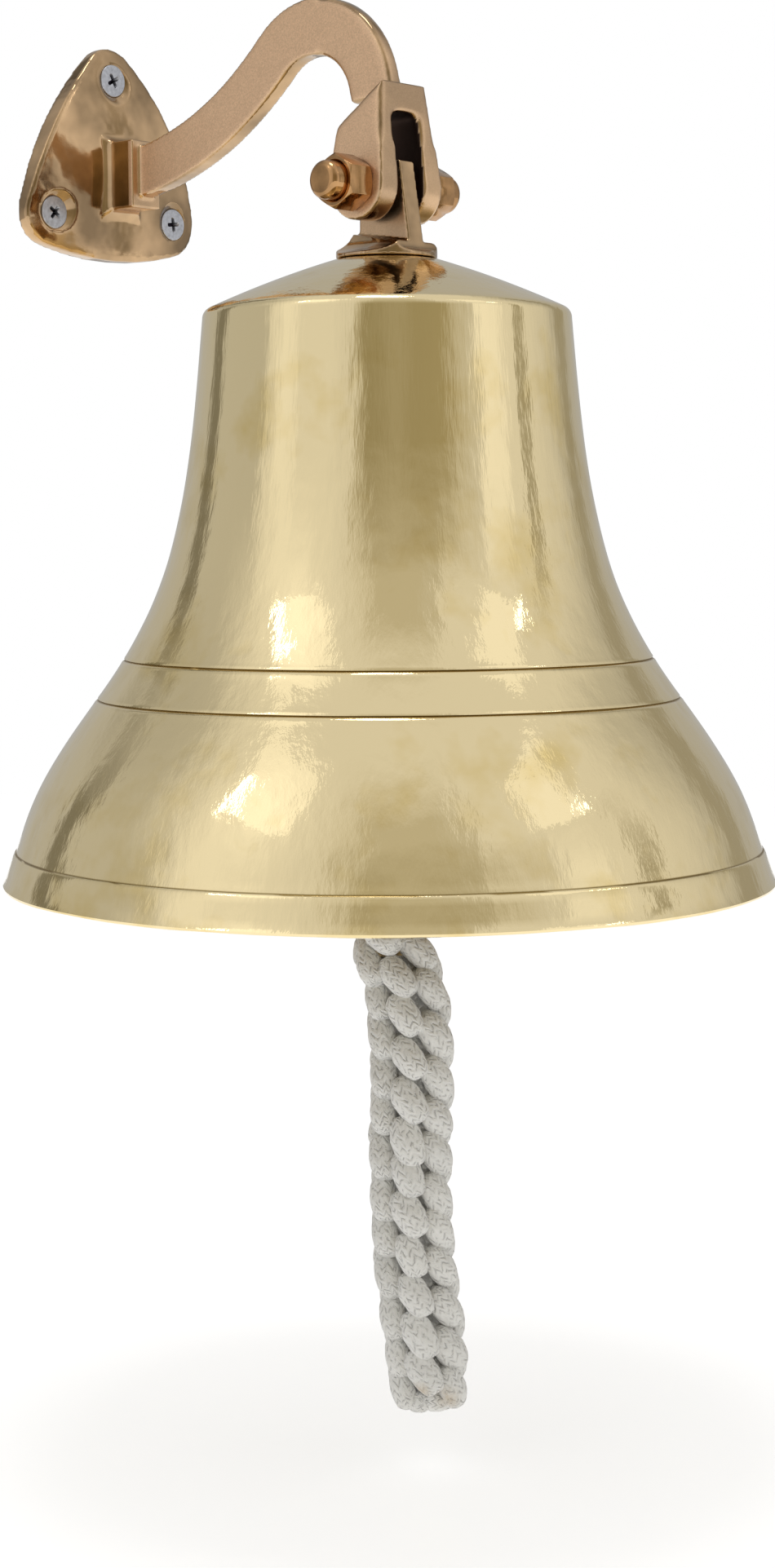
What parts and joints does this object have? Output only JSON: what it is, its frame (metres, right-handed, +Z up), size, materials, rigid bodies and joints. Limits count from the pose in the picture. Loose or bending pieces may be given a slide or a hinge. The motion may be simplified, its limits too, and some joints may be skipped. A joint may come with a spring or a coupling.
{
  "type": "ship bell",
  "caption": "Polished ship's bell on a swan-neck wall bracket, free to swing, with an inner clapper and a short sinnet bell rope.",
  "frame": {"origin": "centre of the wall screws' circle, on the flat back face of the bracket", "axes": "+X away from the wall, along the arm; +Y along the pivot stud, to the right for someone who faces the wall; +Z up"},
  "size_m": [0.195, 0.178, 0.3287],
  "materials": {
    "cast_bronze": "polished casting with darker cast sides",
    "turned_bronze": "turned and polished",
    "polished_brass": "mirror polished",
    "plain_brass": "machined",
    "zinc_steel": "zinc plated",
    "cotton": "plaited cotton cord",
    "twine": "waxed whipping twine"
  },
  "bodies": {
    "bracket": {"wall_bracket": "cast_bronze", "wall_screw_top": "zinc_steel", "wall_screw_left": "zinc_steel", "wall_screw_right": "zinc_steel", "pivot_stud": "turned_bronze", "pivot_nut_left": "turned_bronze", "pivot_nut_right": "turned_bronze"},
    "bell": {"bell_shell": "polished_brass", "hanger": "cast_bronze", "crown_washer": "plain_brass", "crown_nut": "plain_brass", "clapper_eye": "plain_brass"},
    "clapper": {"clapper_rod": "turned_bronze", "clapper_ball": "turned_bronze", "tail_eye": "plain_brass"},
    "rope": {"rope_eye": "cotton", "rope_whipping": "twine", "bell_rope": "cotton"}
  },
  "joints": [
    {"name": "bell_swing", "type": "hinge", "parent": "bracket", "child": "bell", "pos_m": [0.098, 0, -0.012], "axis": [0, -1, 0], "range_deg": [-3, 75]},
    {"name": "clapper_swing", "type": "hinge", "parent": "bell", "child": "clapper", "pos_m": [0.098, 0, -0.054], "axis": [1, 0, 0], "range_deg": [-30, 30]},
    {"name": "rope_swing", "type": "hinge", "parent": "clapper", "child": "rope", "pos_m": [0.098, 0, -0.173], "axis": [0, 1, 0], "range_deg": [-30, 30]}
  ]
}
